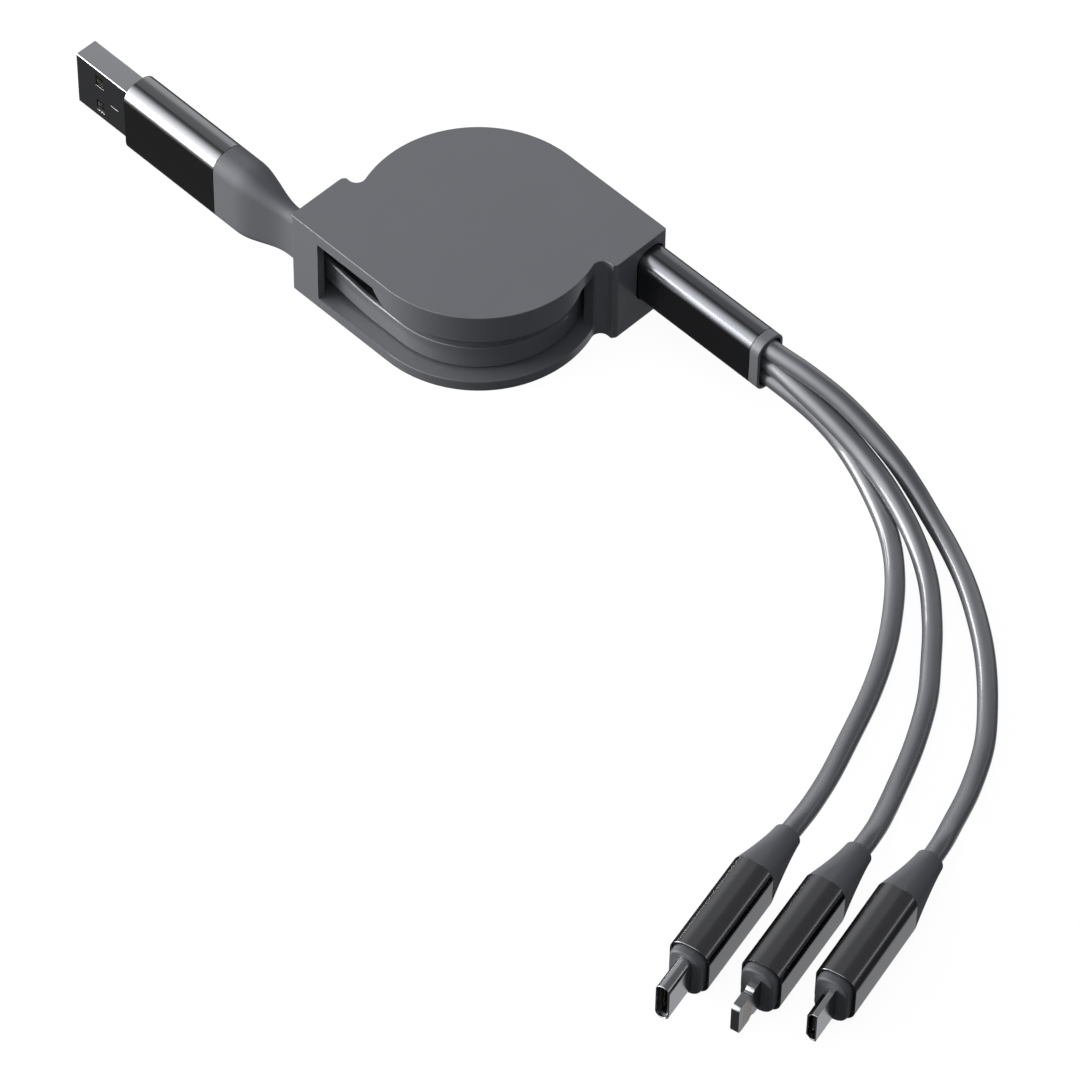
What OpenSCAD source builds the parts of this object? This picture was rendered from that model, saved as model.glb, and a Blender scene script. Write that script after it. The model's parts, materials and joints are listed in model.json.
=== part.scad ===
// Retractable charging cable: a spring reel in a flat case, with a USB-A plug on one side
// and a splitter with three device plugs on the other.
// Origin: middle of the case, on the table. +X points to the splitter, +Z is up.

/* [Case] */
// Radius of the round part of the case
case_r = 21.5; // [20.9:0.1:23]
// Distance from the middle to each mouth face
case_half_l = 23.3; // [22.9:0.1:25]
// Height of the case
case_h = 18.7; // [18.5:0.1:21]
// Thickness of the floor
floor_t = 2.2; // [1.6:0.1:2.4]
// Thickness of the roof
roof_t = 2.6; // [2:0.1:2.8]
// Distance from the middle line to the inner side of each tab
tab_in = 9.1; // [8.6:0.1:9.6]
// Radius of the upright tab corners beside the hollows
corner_r = 1; // [0.6:0.1:1.4]
// Radius of the upright tab corners on the flat sides
side_corner_r = 0.4; // [0.2:0.1:0.6]
// Radius of the hollow between a tab and the round part
notch_r = 1.7; // [1.2:0.1:2.2]
// Thickness of the tab's outer wall
tab_wall = 1.5; // [1.2:0.1:1.7]
// Thickness of the cable guide behind each mouth
guide_t = 1.4; // [1:0.1:1.8]
// Wall left beside the screw head
pillar_wall = 0.8; // [0.6:0.1:1]
// Length of wall between a mouth face and the side window
window_wall = 6.3; // [5.6:0.1:7]
// Depth of each mouth pocket
mouth_depth = 3.3; // [2.8:0.1:3.6]
// Gap round the splitter and round the boot's neck in the mouths
mouth_gap = 0.2; // [0.15:0.05:0.3]
// Thickness of the rim that hangs under the roof
rim_t = 1.6; // [1.2:0.1:1.9]
// Height of that rim
rim_h = 3.4; // [2.6:0.1:3.8]
// Radius of the arches at both ends of the rim
rim_arch_r = 9; // [8:0.5:10]
// Distance past the middle line at which the rim's first arch ends
rim_first = 2.5; // [2:0.1:3.2]
// Distance before the middle line at which its last arch begins
rim_last = 3.8; // [3.2:0.1:4.4]
// Thickness of the case round the space for the reel
chamber_wall = 2; // [1.8:0.1:2.2]
// Distance of the USB-A plug's axis from the case's flat side
usb_a_inset = 3.3; // [3.2:0.05:3.5]
// Distance of the splitter's axis from the case's other flat side
splitter_inset = 3.85; // [3.8:0.05:4]

/* [Case screws] */
// Distance of each screw from its mouth face
screw_inset = 4.7; // [4.4:0.1:5]
// Distance of each screw from its tab's inner side
screw_side = 2.1; // [2:0.1:2.2]
// Radius of the screw head
head_r = 1.4; // [1.2:0.05:1.5]
// Height of the screw head
head_h = 1.1; // [0.9:0.1:1.4]
// Depth of the head below the underside
head_depth = 3; // [2:0.5:4]
// Radius of the screw shank
shank_r = 0.75; // [0.6:0.05:0.8]
// Length of the screw shank
shank_l = 8; // [6:0.5:9]
// Radius of the pegs that take the screws
peg_r = 1.3; // [1.2:0.05:1.4]

/* [Reel] */
// Radius of the fixed post
post_r = 2; // [1.8:0.1:2.3]
// Radius of the hub that the cable is wound on
hub_r = 5.5; // [4.5:0.1:6.5]
// How far the flange stands out past the turns on the reel
flange_lip = 1.2; // [1.1:0.1:1.8]
// Width of the flat cable, which stands on edge
flat_w = 5.2; // [4.8:0.1:5.4]
// Thickness of the flat cable
flat_t = 1; // [0.8:0.05:1.1]
// How far the flat cable climbs from the reel to the USB-A plug
usb_a_climb = 1.8; // [1:0.1:2.2]
// How far the flat cable climbs from the reel to the splitter
splitter_climb = 3; // [2.8:0.1:3.2]
// Thickness of the reel's flange
flange_t = 1.1; // [0.8:0.1:1.2]
// Clearance round the reel's flange
flange_gap = 0.9; // [0.7:0.1:1.2]
// Outer radius of the spring drum
drum_r = 14.6; // [14.2:0.1:15.6]
// Wall of the spring drum
drum_wall = 1.2; // [0.9:0.1:1.4]
// Thickness of the spring strip
spring_t = 0.35; // [0.25:0.05:0.45]
// Turns of the spring
spring_turns = 6; // [4:1:8]

/* [Ratchet] */
// Thickness of the drum cover
cover_t = 0.6; // [0.5:0.1:0.7]
// Height of the track on the cover
track_h = 0.9; // [0.8:0.05:1]
// Inner radius of the track
track_in = 9.1; // [8.7:0.1:9.3]
// Outer radius of the track
track_out = 12.6; // [12.5:0.1:12.9]
// Thickness of the track's inner wall
track_wall = 1.6; // [1.2:0.1:2]
// Number of catch pockets in the track
catch_count = 6; // [3:1:9]
// Depth of a catch pocket
catch_depth = 1; // [0.6:0.1:1.1]
// Radius of the pawl's toe
toe_r = 0.6; // [0.5:0.05:0.7]
// Thickness of the pawl
pawl_t = 0.7; // [0.6:0.05:0.8]
// Radius of the pin that the pawl swings on
pawl_pin_r = 0.8; // [0.7:0.05:0.9]
// Distance of that pin from the middle
pawl_pin_at = 9.2; // [9.1:0.1:9.3]
// Radius of the toe's rest place from the middle
toe_at = 10.85; // [10.8:0.05:10.9]
// Angle from the pin to the toe, seen from the middle
toe_turn = 33; // [30:1:36]

/* [USB-A plug] */
// Height of the steel shell
usb_a_h = 12; // [11.8:0.1:12.2]
// Thickness of the steel shell
usb_a_t = 4.5; // [4.4:0.1:4.6]
// Wall of the steel shell
usb_a_wall = 0.3; // [0.25:0.05:0.35]
// Length of shell in front of the sleeve
usb_a_out = 13.4; // [11.8:0.1:14]
// Length of shell held inside the core
usb_a_in = 5; // [4:0.5:8]
// Thickness of the tongue
usb_a_tongue_t = 1.9; // [1.8:0.05:2]
// Length of the sleeve
usb_a_sleeve_l = 22.4; // [20:0.2:26]
// Half thickness of the sleeve
usb_a_half_t = 3.65; // [3.4:0.05:3.8]
// Half height of the sleeve
usb_a_half_h = 7.9; // [7.5:0.05:8.4]
// Corner radius of the sleeve
usb_a_corner = 3; // [2.6:0.1:3.2]
// Length of boot outside the case
usb_a_boot_l = 19; // [17:0.5:23]
// Half thickness of the boot's flat neck
neck_half_t = 1.7; // [1.5:0.05:1.9]
// Half height of the boot's flat neck
neck_half_h = 5.6; // [5.3:0.1:5.9]

/* [Splitter] */
// Length of the splitter sleeve outside the case
splitter_out = 26.1; // [23:0.2:30]
// Half thickness of the splitter sleeve
splitter_half_t = 3; // [2.8:0.05:3]
// Half height of the splitter sleeve
splitter_half_h = 5.9; // [5.7:0.05:6.1]
// How far the splitter's axis lies above the middle of the case
splitter_lift = 1.5; // [1.3:0.1:1.6]
// Corner radius of the splitter sleeve
splitter_corner = 2.5; // [2.2:0.1:2.7]
// Length of the collar
collar_l = 2; // [1.6:0.1:2.6]
// Wall of the collar at its open end
collar_wall = 0.6; // [0.5:0.05:0.8]
// Depth of the recess in the collar
collar_recess = 1.5; // [1:0.1:1.5]

/* [Device plugs] */
// Wall of every metal sleeve
sleeve_wall = 0.3; // [0.25:0.05:0.4]
// Length of a device plug's sleeve
plug_sleeve_l = 19.5; // [17:0.5:22]
// Half thickness of that sleeve
plug_half_t = 3.65; // [3.4:0.05:3.9]
// Half height of that sleeve
plug_half_h = 5.55; // [5.4:0.05:5.8]
// Corner radius of that sleeve
plug_corner = 3; // [2.8:0.1:3.3]
// Length of a device plug's boot
plug_boot_l = 11; // [10:0.5:13]
// Radius of the boot at the cord
boot_end_r = 2.4; // [2.1:0.1:2.6]
// How far the nose stands out of the sleeve
nose_out = 1.5; // [1:0.1:2]
// Gap between the nose and the sleeve's lip
nose_inset = 0.35; // [0.2:0.05:0.45]
// Depth of the groove round the nose
nose_groove = 0.8; // [0.5:0.1:1.2]
// Width of the USB-C shell
usb_c_w = 8.34; // [8.2:0.02:8.4]
// Thickness of the USB-C shell
usb_c_t = 2.56; // [2.5:0.02:2.6]
// Length of the USB-C shell in front of the nose
usb_c_out = 6.6; // [6.2:0.1:7]
// Wall of the small steel shells
small_wall = 0.25; // [0.2:0.05:0.3]
// Width of the eight-contact tip
eight_w = 6.7; // [6.6:0.1:6.8]
// Thickness of the eight-contact tip
eight_t = 1.5; // [1.4:0.05:1.6]
// Length of the eight-contact tip in front of the nose
eight_out = 6.6; // [6.2:0.1:7]
// Width of the micro-USB shell
micro_w = 6.85; // [6.8:0.05:6.9]
// Thickness of the micro-USB shell
micro_t = 1.8; // [1.75:0.05:1.85]
// Length of the micro-USB shell in front of the nose
micro_out = 5.9; // [5.5:0.1:6.4]
// Slant of the micro-USB shell's short sides
micro_slant = 0.9; // [0.7:0.05:1.1]

/* [Cords] */
// Diameter of each cord
cord_d = 3.5; // [3.2:0.1:3.5]

/* [Hidden] */
$fn = 96;

// Clearances
run_gap = 0.05;
axial_gap = 0.15;
seat_gap = 0.2;
flat_gap = 0.15;
slip = 0.1;
pawl_gap = 0.5;
eps = 0.01;

// Heights, from the table up
axis_z = case_h / 2;
roof_z = case_h - roof_t;
reel_z = floor_t + axial_gap;
flat_z = reel_z + slip;
flange_z = flat_z + flat_w + slip;
drum_z = flange_z + flange_t;
pawl_z = roof_z - axial_gap - pawl_t;
track_z = pawl_z - pawl_gap - track_h;
cover_z = track_z - cover_t;
drum_h = cover_z - drum_z;

// Reel and flat cable
usb_a_y = case_r - usb_a_inset;
splitter_y = case_r - splitter_inset;
splitter_z = axis_z + splitter_lift;
chamber_r = case_r - chamber_wall;
flange_r = chamber_r - flange_gap;
winding_r = flange_r - flange_lip;
post_bore = post_r + run_gap;
drum_in = drum_r - drum_wall;
flat_in = winding_r + flat_gap;
flat_mid = flat_in + flat_t / 2;
// The turn that stays round the reel goes on behind the tab, out of sight
wrap_turn = 130;
slit_w = spring_t + 2 * slip;
spring_z = drum_z + axial_gap;
spring_h = drum_h - 3 * axial_gap;
spring_r0 = post_r + 1.2;
spring_r1 = drum_in - spring_t / 2 - slip;
spring_steps = 20;

// Case
rim_z = roof_z - rim_h;
window_x = case_half_l - window_wall;
// The arches start a little below the rim's edge, so that the two cross
rim_run = 0.1;
notch_c = [sqrt(pow(case_r + notch_r, 2) - pow(tab_in - notch_r, 2)), tab_in - notch_r];
notch_foot = notch_c * case_r / (case_r + notch_r);
pillar_in = notch_foot.y + 0.3;
screw_x = case_half_l - screw_inset;
screw_y = tab_in + screw_side;
pillar_out = screw_y + head_r + slip + pillar_wall;
pocket_x = case_half_l - mouth_depth;
slot_half = 1.6;
peg_l = roof_z - floor_t - head_depth - 1.2;
peg_z = roof_z - peg_l;
shank_hole = shank_r + 0.2;
pilot_r = shank_r - 0.1;
socket_depth = 1;

// Pawl: the pin's place and the toe's place in the track
pawl_pin = [0, pawl_pin_at];
toe_spot = toe_at * [-sin(toe_turn), cos(toe_turn)];
pawl_l = norm(toe_spot - pawl_pin);
pawl_dir = atan2(toe_spot.y - pawl_pin.y, toe_spot.x - pawl_pin.x);
pawl_hub_r = pawl_pin_r + 0.8;

// USB-A plug, from the case outwards
usb_a_rear = -case_half_l - usb_a_boot_l;
usb_a_front = usb_a_rear - usb_a_sleeve_l;
usb_a_tip = usb_a_front - usb_a_out;
neck_end = -pocket_x - seat_gap;

// Splitter
splitter_x0 = pocket_x + seat_gap;
splitter_x1 = case_half_l + splitter_out;
collar_x1 = splitter_x1 + collar_l;
splitter_face = collar_x1 - collar_recess;

// Device plugs: USB-C, eight-contact, micro-USB. Each stands on edge on the table.
// A spot is the middle of the sleeve's front end; a turn is where the plug points.
plug_spots = [[125.2, -77.4], [135.5, -71.8], [144.8, -64.8]];
plug_turns = [-77, -77, -76.5];
plug_z = plug_half_h;
boot_end = -plug_sleeve_l - plug_boot_l;

// Routes of the cords between the splitter and the boots, laid by hand
usb_c_route = [
    [53, 17.65, 7.35], [57.9, 17.9, 6.75], [63.1, 18.2, 5.45], [69.3, 17.7, 3.65], [77.1, 15.2, 2.2],
    [86, 10.5, 1.8], [93, 4.5, 1.8], [99, -2.8, 1.8], [103.2, -9.3, 1.8], [107, -16.8, 1.8],
    [110.5, -25.3, 1.9], [113.7, -33.1, 2.6], [116.3, -40.1, 4.2], [117.6, -44.4, 5.2]
];
eight_route = [
    [53, 17.65, 10.85], [59.9, 17.2, 10.35], [66.7, 17, 9.1], [73.5, 16.6, 7.35], [80.9, 15.3, 5.5],
    [89.4, 12.5, 3.3], [97, 8.1, 2], [103.8, 1.9, 1.8], [109, -4, 1.8], [114, -10.3, 1.8],
    [118.8, -18.6, 1.8], [123, -27.6, 2.4], [126.2, -34.6, 4], [127.7, -38.6, 5.1]
];
micro_route = [
    [53, 17.65, 14.35], [58.9, 18.4, 13.75], [65.6, 19.25, 12.2], [72.4, 19.6, 9.8], [78.8, 19.5, 7],
    [84.1, 18.8, 4.55], [89, 17.5, 2.95], [95, 15.4, 2.1], [102, 12, 1.8], [109, 7.4, 1.8],
    [115, 2.6, 1.8], [121, -3.4, 1.8], [126.7, -10.4, 1.8], [131.2, -18.7, 2.2], [134.7, -26.9, 3.9],
    [136.5, -31.2, 5.1]
];

// Colours
case_grey = [0.42, 0.42, 0.44];
boot_grey = [0.36, 0.36, 0.38];
cable_grey = [0.4, 0.41, 0.42];
black_metal = [0.12, 0.12, 0.14];
steel = [0.6, 0.61, 0.63];
gold = [0.78, 0.62, 0.3];
dark_plastic = [0.16, 0.16, 0.17];

// Shapes that several pieces share

// A rectangle with round corners, by its half sizes
module round_rect(half_x, half_y, r) {
    square([2 * half_x - 2 * r, 2 * half_y], center = true);
    square([2 * half_x, 2 * half_y - 2 * r], center = true);
    for (x = [-1, 1], y = [-1, 1])
        translate([x * (half_x - r), y * (half_y - r)]) circle(r);
}

// Stretches a flat section from x0 to x1: its x runs along Y and its y along Z
module along_x(x0, x1) {
    translate([x0, 0, 0]) rotate([90, 0, 90]) linear_extrude(x1 - x0) children();
}

// A second copy, half a turn round the middle of the case
module both_ends() {
    children();
    rotate([0, 0, 180]) children();
}

// Points of a rounded rectangle, steps + 1 for each corner
function section(half_x, half_y, r, steps) = [
    for (q = [0:3], s = [0:steps])
        let (a = 90 * q + 90 * s / steps,
             cx = (q == 0 || q == 3 ? 1 : -1) * (half_x - r),
             cy = (q < 2 ? 1 : -1) * (half_y - r))
        [cx + r * cos(a), cy + r * sin(a)]
];

// The same section standing at a place on the X axis
function ring_at(x, y, z, points) = [for (p = points) [x, y + p.x, z + p.y]];

// A solid through rings that all have the same number of points
module loft(rings) {
    n = len(rings[0]);
    m = len(rings);
    points = [for (ring = rings) each ring];
    sides = [
        for (i = [0:m - 2], j = [0:n - 1])
            let (a = i * n + j, b = i * n + (j + 1) % n, c = b + n, d = a + n)
            each [[a, d, c], [a, c, b]]
    ];
    near = [for (j = [0:n - 1]) j];
    far = [for (j = [n - 1:-1:0]) (m - 1) * n + j];
    polyhedron(points, concat([near], sides, [far]));
}

// A soft step from 0 to 1
function ease(t) = t <= 0 ? 0 : t >= 1 ? 1 : t * t * (3 - 2 * t);
function blend(a, b, t) = a + (b - a) * t;
function unit(v) = v / norm(v);

// A round tube along a route, square to it at every ring
module tube(route, r, sides, first_dir, last_dir) {
    n = len(route);
    rings = [
        for (i = [0:n - 1])
            let (t = i == 0 ? first_dir : i == n - 1 ? last_dir : unit(route[i + 1] - route[i - 1]),
                 side = unit(cross([0, 0, 1], t)),
                 up = cross(t, side))
            [for (k = [0:sides - 1])
                let (a = 360 * (k + 0.5) / sides)
                route[i] + r * cos(a) * side + r * sin(a) * up]
    ];
    loft(rings);
}

// Case

// The tab on the +X side, with the hollow that joins it to the round part
module tab_outline() {
    difference() {
        union() {
            square([case_half_l - corner_r, case_r]);
            translate([0, tab_in + corner_r])
                square([case_half_l, case_r - tab_in - corner_r - side_corner_r]);
            square([case_half_l - side_corner_r, case_r]);
            translate([case_half_l - corner_r, tab_in + corner_r]) circle(corner_r);
            translate([case_half_l - side_corner_r, case_r - side_corner_r]) circle(side_corner_r);
        }
        difference() {
            square([case_half_l, tab_in]);
            polygon([[0, 0], notch_foot, notch_c, [notch_c.x, tab_in], [0, tab_in]]);
        }
        translate(notch_c) circle(notch_r);
    }
}

module case_outline() {
    circle(case_r);
    tab_outline();
    rotate(180) tab_outline();
}

// What stands on the floor of one tab: the screw pillar, the cable guide and the outer wall
module tab_walls() {
    difference() {
        intersection() {
            case_outline();
            union() {
                translate([0, pillar_in]) square([case_half_l, pillar_out - pillar_in]);
                translate([pocket_x - guide_t, pillar_out - eps]) square([case_half_l, case_r]);
                translate([window_x, case_r - tab_wall]) square([case_half_l, tab_wall]);
            }
        }
        difference() {
            circle(chamber_r);
            translate([pocket_x - guide_t, pillar_out]) square(case_r);
        }
        translate([pocket_x - guide_t - eps, flat_mid - slot_half])
            square([guide_t + 2 * eps, 2 * slot_half]);
    }
}

// A pocket that fits round what enters it
module mouth(half_t, half_h, r) {
    along_x(pocket_x, case_half_l + 1)
        round_rect(half_t + mouth_gap, half_h + mouth_gap, r + mouth_gap);
}

module mouths() {
    at_splitter() mouth(splitter_half_t, splitter_half_h, splitter_corner);
    rotate([0, 0, 180])
        translate([0, usb_a_y, axis_z]) mouth(neck_half_t, neck_half_h, neck_half_t - eps);
}

module case_bottom() {
    color(case_grey)
    difference() {
        union() {
            linear_extrude(floor_t) case_outline();
            difference() {
                both_ends() linear_extrude(roof_z) tab_walls();
                mouths();
            }
            cylinder(r = post_r, h = roof_z + socket_depth);
        }
        both_ends()
            translate([screw_x, screw_y, 0]) {
                translate([0, 0, -1]) cylinder(r = head_r + slip, h = head_depth + head_h + 1);
                cylinder(r = shank_hole, h = case_h);
                translate([0, 0, peg_z - slip]) cylinder(r = peg_r + run_gap, h = case_h);
            }
        translate([-2 * post_r, -slit_w / 2, spring_z - slip])
            cube([4 * post_r, slit_w, case_h]);
    }
}

// Everything on the +X side of an arch that rises from the rim's edge towards -X
module beyond_arch() {
    rotate([90, 0, 0])
        linear_extrude(4 * case_r, center = true) {
            translate([0, rim_arch_r - rim_run]) circle(rim_arch_r);
            translate([0, -1]) square([2 * case_r, rim_h + 2]);
        }
}

// The rim that hangs from the roof over one window, with an arch at each end
module window_rim() {
    translate([0, 0, rim_z])
        intersection() {
            difference() {
                cylinder(r = case_r, h = rim_h + eps);
                translate([0, 0, -1]) cylinder(r = case_r - rim_t, h = rim_h + 2);
            }
            translate([rim_first, 0, 0]) beyond_arch();
            translate([0, -rim_last, 0]) rotate([0, 0, -90]) beyond_arch();
        }
}

module case_top() {
    color(case_grey)
    difference() {
        union() {
            translate([0, 0, roof_z]) linear_extrude(roof_t) case_outline();
            both_ends() window_rim();
            both_ends() translate([screw_x, screw_y, peg_z]) cylinder(r = peg_r, h = peg_l + eps);
            translate([pawl_pin.x, pawl_pin.y, pawl_z])
                cylinder(r = pawl_pin_r, h = roof_z - pawl_z + eps);
        }
        mouths();
        both_ends()
            translate([screw_x, screw_y, peg_z - 1])
                cylinder(r = pilot_r, h = shank_l);
        translate([0, 0, roof_z - eps]) cylinder(r = post_bore, h = socket_depth + slip);
    }
}

module case_screws() {
    color(steel)
    both_ends()
        translate([screw_x, screw_y, head_depth]) {
            difference() {
                cylinder(r = head_r, h = head_h);
                for (a = [0, 90])
                    rotate([0, 0, a]) translate([0, 0, -eps])
                        linear_extrude(head_h * 0.6) square([head_r * 1.2, 0.35], center = true);
            }
            translate([0, 0, head_h]) cylinder(r = shank_r, h = shank_l - 1);
            translate([0, 0, head_h + shank_l - 1]) cylinder(r1 = shank_r, r2 = 0.2, h = 1);
        }
}

// Reel

module spool() {
    color(dark_plastic)
    difference() {
        union() {
            translate([0, 0, reel_z]) cylinder(r = hub_r, h = flange_z - reel_z);
            translate([0, 0, flange_z]) cylinder(r = flange_r, h = flange_t);
            translate([0, 0, drum_z])
                difference() {
                    cylinder(r = drum_r, h = drum_h);
                    translate([0, 0, -eps]) cylinder(r = drum_in, h = drum_h + 2 * eps);
                }
        }
        translate([0, 0, -1]) cylinder(r = post_bore, h = case_h);
    }
}

module cable_winding() {
    color(cable_grey)
    translate([0, 0, flat_z])
        difference() {
            cylinder(r = winding_r, h = flange_z - flat_z);
            translate([0, 0, -1]) cylinder(r = hub_r, h = case_h);
        }
}

// One side of the spring strip, from the post outwards
function spiral(offset, steps) = [
    for (i = [0:steps])
        let (a = 360 * spring_turns * i / steps, r = blend(spring_r0, spring_r1, i / steps) + offset)
        [r * cos(a), r * sin(a)]
];

module spiral_spring() {
    steps = spring_turns * spring_steps;
    outer = spiral(spring_t / 2, steps);
    inner = spiral(-spring_t / 2, steps);
    color(steel)
    translate([0, 0, spring_z])
        linear_extrude(spring_h)
            union() {
                polygon(concat(outer, [for (i = [steps:-1:0]) inner[i]]));
                translate([-post_r / 2, -spring_t / 2]) square([spring_r0 + post_r / 2, spring_t]);
            }
}

// Lid of the spring drum, with the track that the pawl's toe runs in
module ratchet_cover() {
    catch_w = 2.4 * toe_r;
    color(dark_plastic)
    difference() {
        union() {
            translate([0, 0, cover_z]) cylinder(r = drum_r, h = cover_t);
            translate([0, 0, track_z - eps])
                difference() {
                    cylinder(r = drum_r, h = track_h + eps);
                    translate([0, 0, -1]) cylinder(r = track_out, h = track_h + 2);
                }
            translate([0, 0, track_z - eps])
                difference() {
                    cylinder(r = track_in, h = track_h + eps);
                    translate([0, 0, -1]) cylinder(r = track_in - track_wall, h = track_h + 2);
                }
        }
        for (i = [0:catch_count - 1])
            rotate([0, 0, 360 * i / catch_count])
                translate([0, 0, track_z])
                    linear_extrude(track_h + 1)
                        polygon([[track_out - 1, 0], [track_out + catch_depth, 0],
                                 [track_out + catch_depth, catch_w], [track_out - 1, 3 * catch_w]]);
        translate([0, 0, -1]) cylinder(r = post_bore + slip, h = case_h);
    }
}

module ratchet_pawl() {
    color(steel)
    translate([pawl_pin.x, pawl_pin.y, 0]) rotate([0, 0, pawl_dir]) {
        difference() {
            union() {
                translate([0, 0, pawl_z]) cylinder(r = pawl_hub_r, h = pawl_t);
                translate([0, -toe_r * 1.2, pawl_z]) cube([pawl_l, 2.4 * toe_r, pawl_t]);
                translate([pawl_l, 0, pawl_z]) cylinder(r = toe_r * 1.2, h = pawl_t);
            }
            translate([0, 0, pawl_z - 1]) cylinder(r = pawl_pin_r + run_gap, h = pawl_t + 2);
        }
        translate([pawl_l, 0, track_z + axial_gap])
            cylinder(r = toe_r, h = pawl_z - track_z - axial_gap + eps);
    }
}

// One flat cable: the turn that lies on the reel, and the stretch along -X that climbs to its
// end. It stays level until it is clear of the flange.
module flat_cable(end_y, climb, level_part) {
    edge = section(flat_t / 2, flat_w / 2, flat_t / 2 - eps, 3);
    mid_z = flat_z + flat_w / 2;
    rotate([0, 0, -90])
        rotate_extrude(angle = wrap_turn)
            translate([flat_mid, mid_z]) polygon(edge);
    loft([
        for (s = [7:-1:0])
            let (t = s / 7)
            ring_at(neck_end * t, -blend(flat_mid, end_y, t),
                    mid_z + climb * ease((t - level_part) / (1 - level_part)), edge)
    ]);
}

module usb_a_flat_cable() {
    color(cable_grey) flat_cable(usb_a_y, usb_a_climb, 0.29);
}

module splitter_flat_cable() {
    color(cable_grey) rotate([0, 0, 180]) flat_cable(splitter_y, splitter_climb, 0.36);
}

// USB-A plug

module at_usb_a() {
    translate([0, -usb_a_y, axis_z]) children();
}

module usb_a_shell() {
    hole = [1.9, 2.6];
    hole_x = 4.7;
    hole_z = 3.1;
    seam_x = 8.3;
    color(steel)
    at_usb_a()
        difference() {
            along_x(usb_a_tip, usb_a_front + usb_a_in)
                difference() {
                    round_rect(usb_a_t / 2, usb_a_h / 2, 0.4);
                    round_rect(usb_a_t / 2 - usb_a_wall, usb_a_h / 2 - usb_a_wall, 0.1);
                }
            for (z = [-1, 1])
                translate([usb_a_tip + hole_x, -usb_a_t, z * hole_z - hole.y / 2])
                    cube([hole.x, 2 * usb_a_t, hole.y]);
            translate([usb_a_tip + seam_x, -usb_a_t, -0.8]) cube([1.8, usb_a_t, 0.25]);
        }
}

module usb_a_tongue() {
    width = usb_a_h - 4 * usb_a_wall;
    color(dark_plastic)
    at_usb_a()
        translate([usb_a_tip + 0.4, usb_a_t / 2 - usb_a_wall - usb_a_tongue_t, -width / 2])
            cube([usb_a_out + usb_a_in - 0.4, usb_a_tongue_t, width]);
}

// Four contact strips on the tongue, the outer two longer
module usb_a_contacts() {
    strip = [1, 0.15];
    color(gold)
    at_usb_a()
        for (i = [-3.5, -1, 1, 3.5])
            let (start = abs(i) > 2 ? 1 : 2)
            translate([usb_a_tip + start,
                       usb_a_t / 2 - usb_a_wall - usb_a_tongue_t - strip.y,
                       i - strip.x / 2])
                cube([usb_a_out + usb_a_in - start, strip.y, strip.x]);
}

// Moulded core inside the sleeve; the steel shell is set in its front
module usb_a_core() {
    color(boot_grey)
    at_usb_a()
        difference() {
            along_x(usb_a_front + slip, usb_a_rear)
                round_rect(usb_a_half_t - sleeve_wall, usb_a_half_h - sleeve_wall,
                           usb_a_corner - sleeve_wall);
            translate([usb_a_front, -usb_a_t / 2, -usb_a_h / 2]) cube([usb_a_in, usb_a_t, usb_a_h]);
        }
}

module usb_a_sleeve() {
    color(black_metal)
    at_usb_a()
        along_x(usb_a_front, usb_a_rear)
            difference() {
                round_rect(usb_a_half_t, usb_a_half_h, usb_a_corner);
                round_rect(usb_a_half_t - sleeve_wall, usb_a_half_h - sleeve_wall,
                           usb_a_corner - sleeve_wall);
            }
}

// Bottle-shaped boot that ends in a flat neck inside the mouth
module usb_a_boot() {
    swell_l = 5;
    neck_l = 3;
    taper_l = usb_a_boot_l - swell_l - neck_l;
    steps = 8;
    taper = [
        for (s = [0:steps])
            let (t = ease(s / steps), a = blend(usb_a_half_t, neck_half_t, t))
            ring_at(usb_a_rear + swell_l + taper_l * s / steps, 0, 0,
                    section(a, blend(usb_a_half_h, neck_half_h, t),
                            blend(usb_a_corner, neck_half_t - eps, t), 5))
    ];
    color(boot_grey)
    at_usb_a()
        loft(concat(
            [ring_at(usb_a_rear, 0, 0, section(usb_a_half_t, usb_a_half_h, usb_a_corner, 5))],
            taper,
            [ring_at(neck_end, 0, 0, section(neck_half_t, neck_half_h, neck_half_t - eps, 5))]));
}

// Splitter

module at_splitter() {
    translate([0, splitter_y, splitter_z]) children();
}

module splitter_sleeve() {
    color(black_metal)
    at_splitter()
        along_x(splitter_x0, splitter_x1)
            difference() {
                round_rect(splitter_half_t, splitter_half_h, splitter_corner);
                round_rect(splitter_half_t - sleeve_wall, splitter_half_h - sleeve_wall,
                           splitter_corner - sleeve_wall);
            }
}

// Moulded core where the flat cable is joined to the three cords
module splitter_core() {
    color(dark_plastic)
    at_splitter() {
        along_x(splitter_x0, splitter_x1)
            round_rect(splitter_half_t - sleeve_wall, splitter_half_h - sleeve_wall,
                       splitter_corner - sleeve_wall);
        along_x(splitter_x1, splitter_face)
            round_rect(splitter_half_t - collar_wall, splitter_half_h - collar_wall,
                       splitter_corner - collar_wall);
    }
}

module splitter_collar() {
    color(steel)
    at_splitter()
        along_x(splitter_x1, collar_x1)
            difference() {
                round_rect(splitter_half_t, splitter_half_h, splitter_corner);
                round_rect(splitter_half_t - collar_wall, splitter_half_h - collar_wall,
                           splitter_corner - collar_wall);
            }
}

// Cords: stacked at the splitter, a cord's width apart, and square to the boots they end in

function plug_dir(i) = [cos(plug_turns[i]), sin(plug_turns[i]), 0];
function boot_spot(i) = [plug_spots[i].x, plug_spots[i].y, plug_z] + boot_end * plug_dir(i);

module cord(i, route) {
    start = [splitter_face, splitter_y, splitter_z + (i - 1) * cord_d];
    color(cable_grey)
    tube(concat([start], route, [boot_spot(i)]), cord_d / 2, 8, [1, 0, 0], plug_dir(i));
}

module usb_c_cord() {
    cord(0, usb_c_route);
}

module eight_pin_cord() {
    cord(1, eight_route);
}

module micro_usb_cord() {
    cord(2, micro_route);
}

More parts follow.
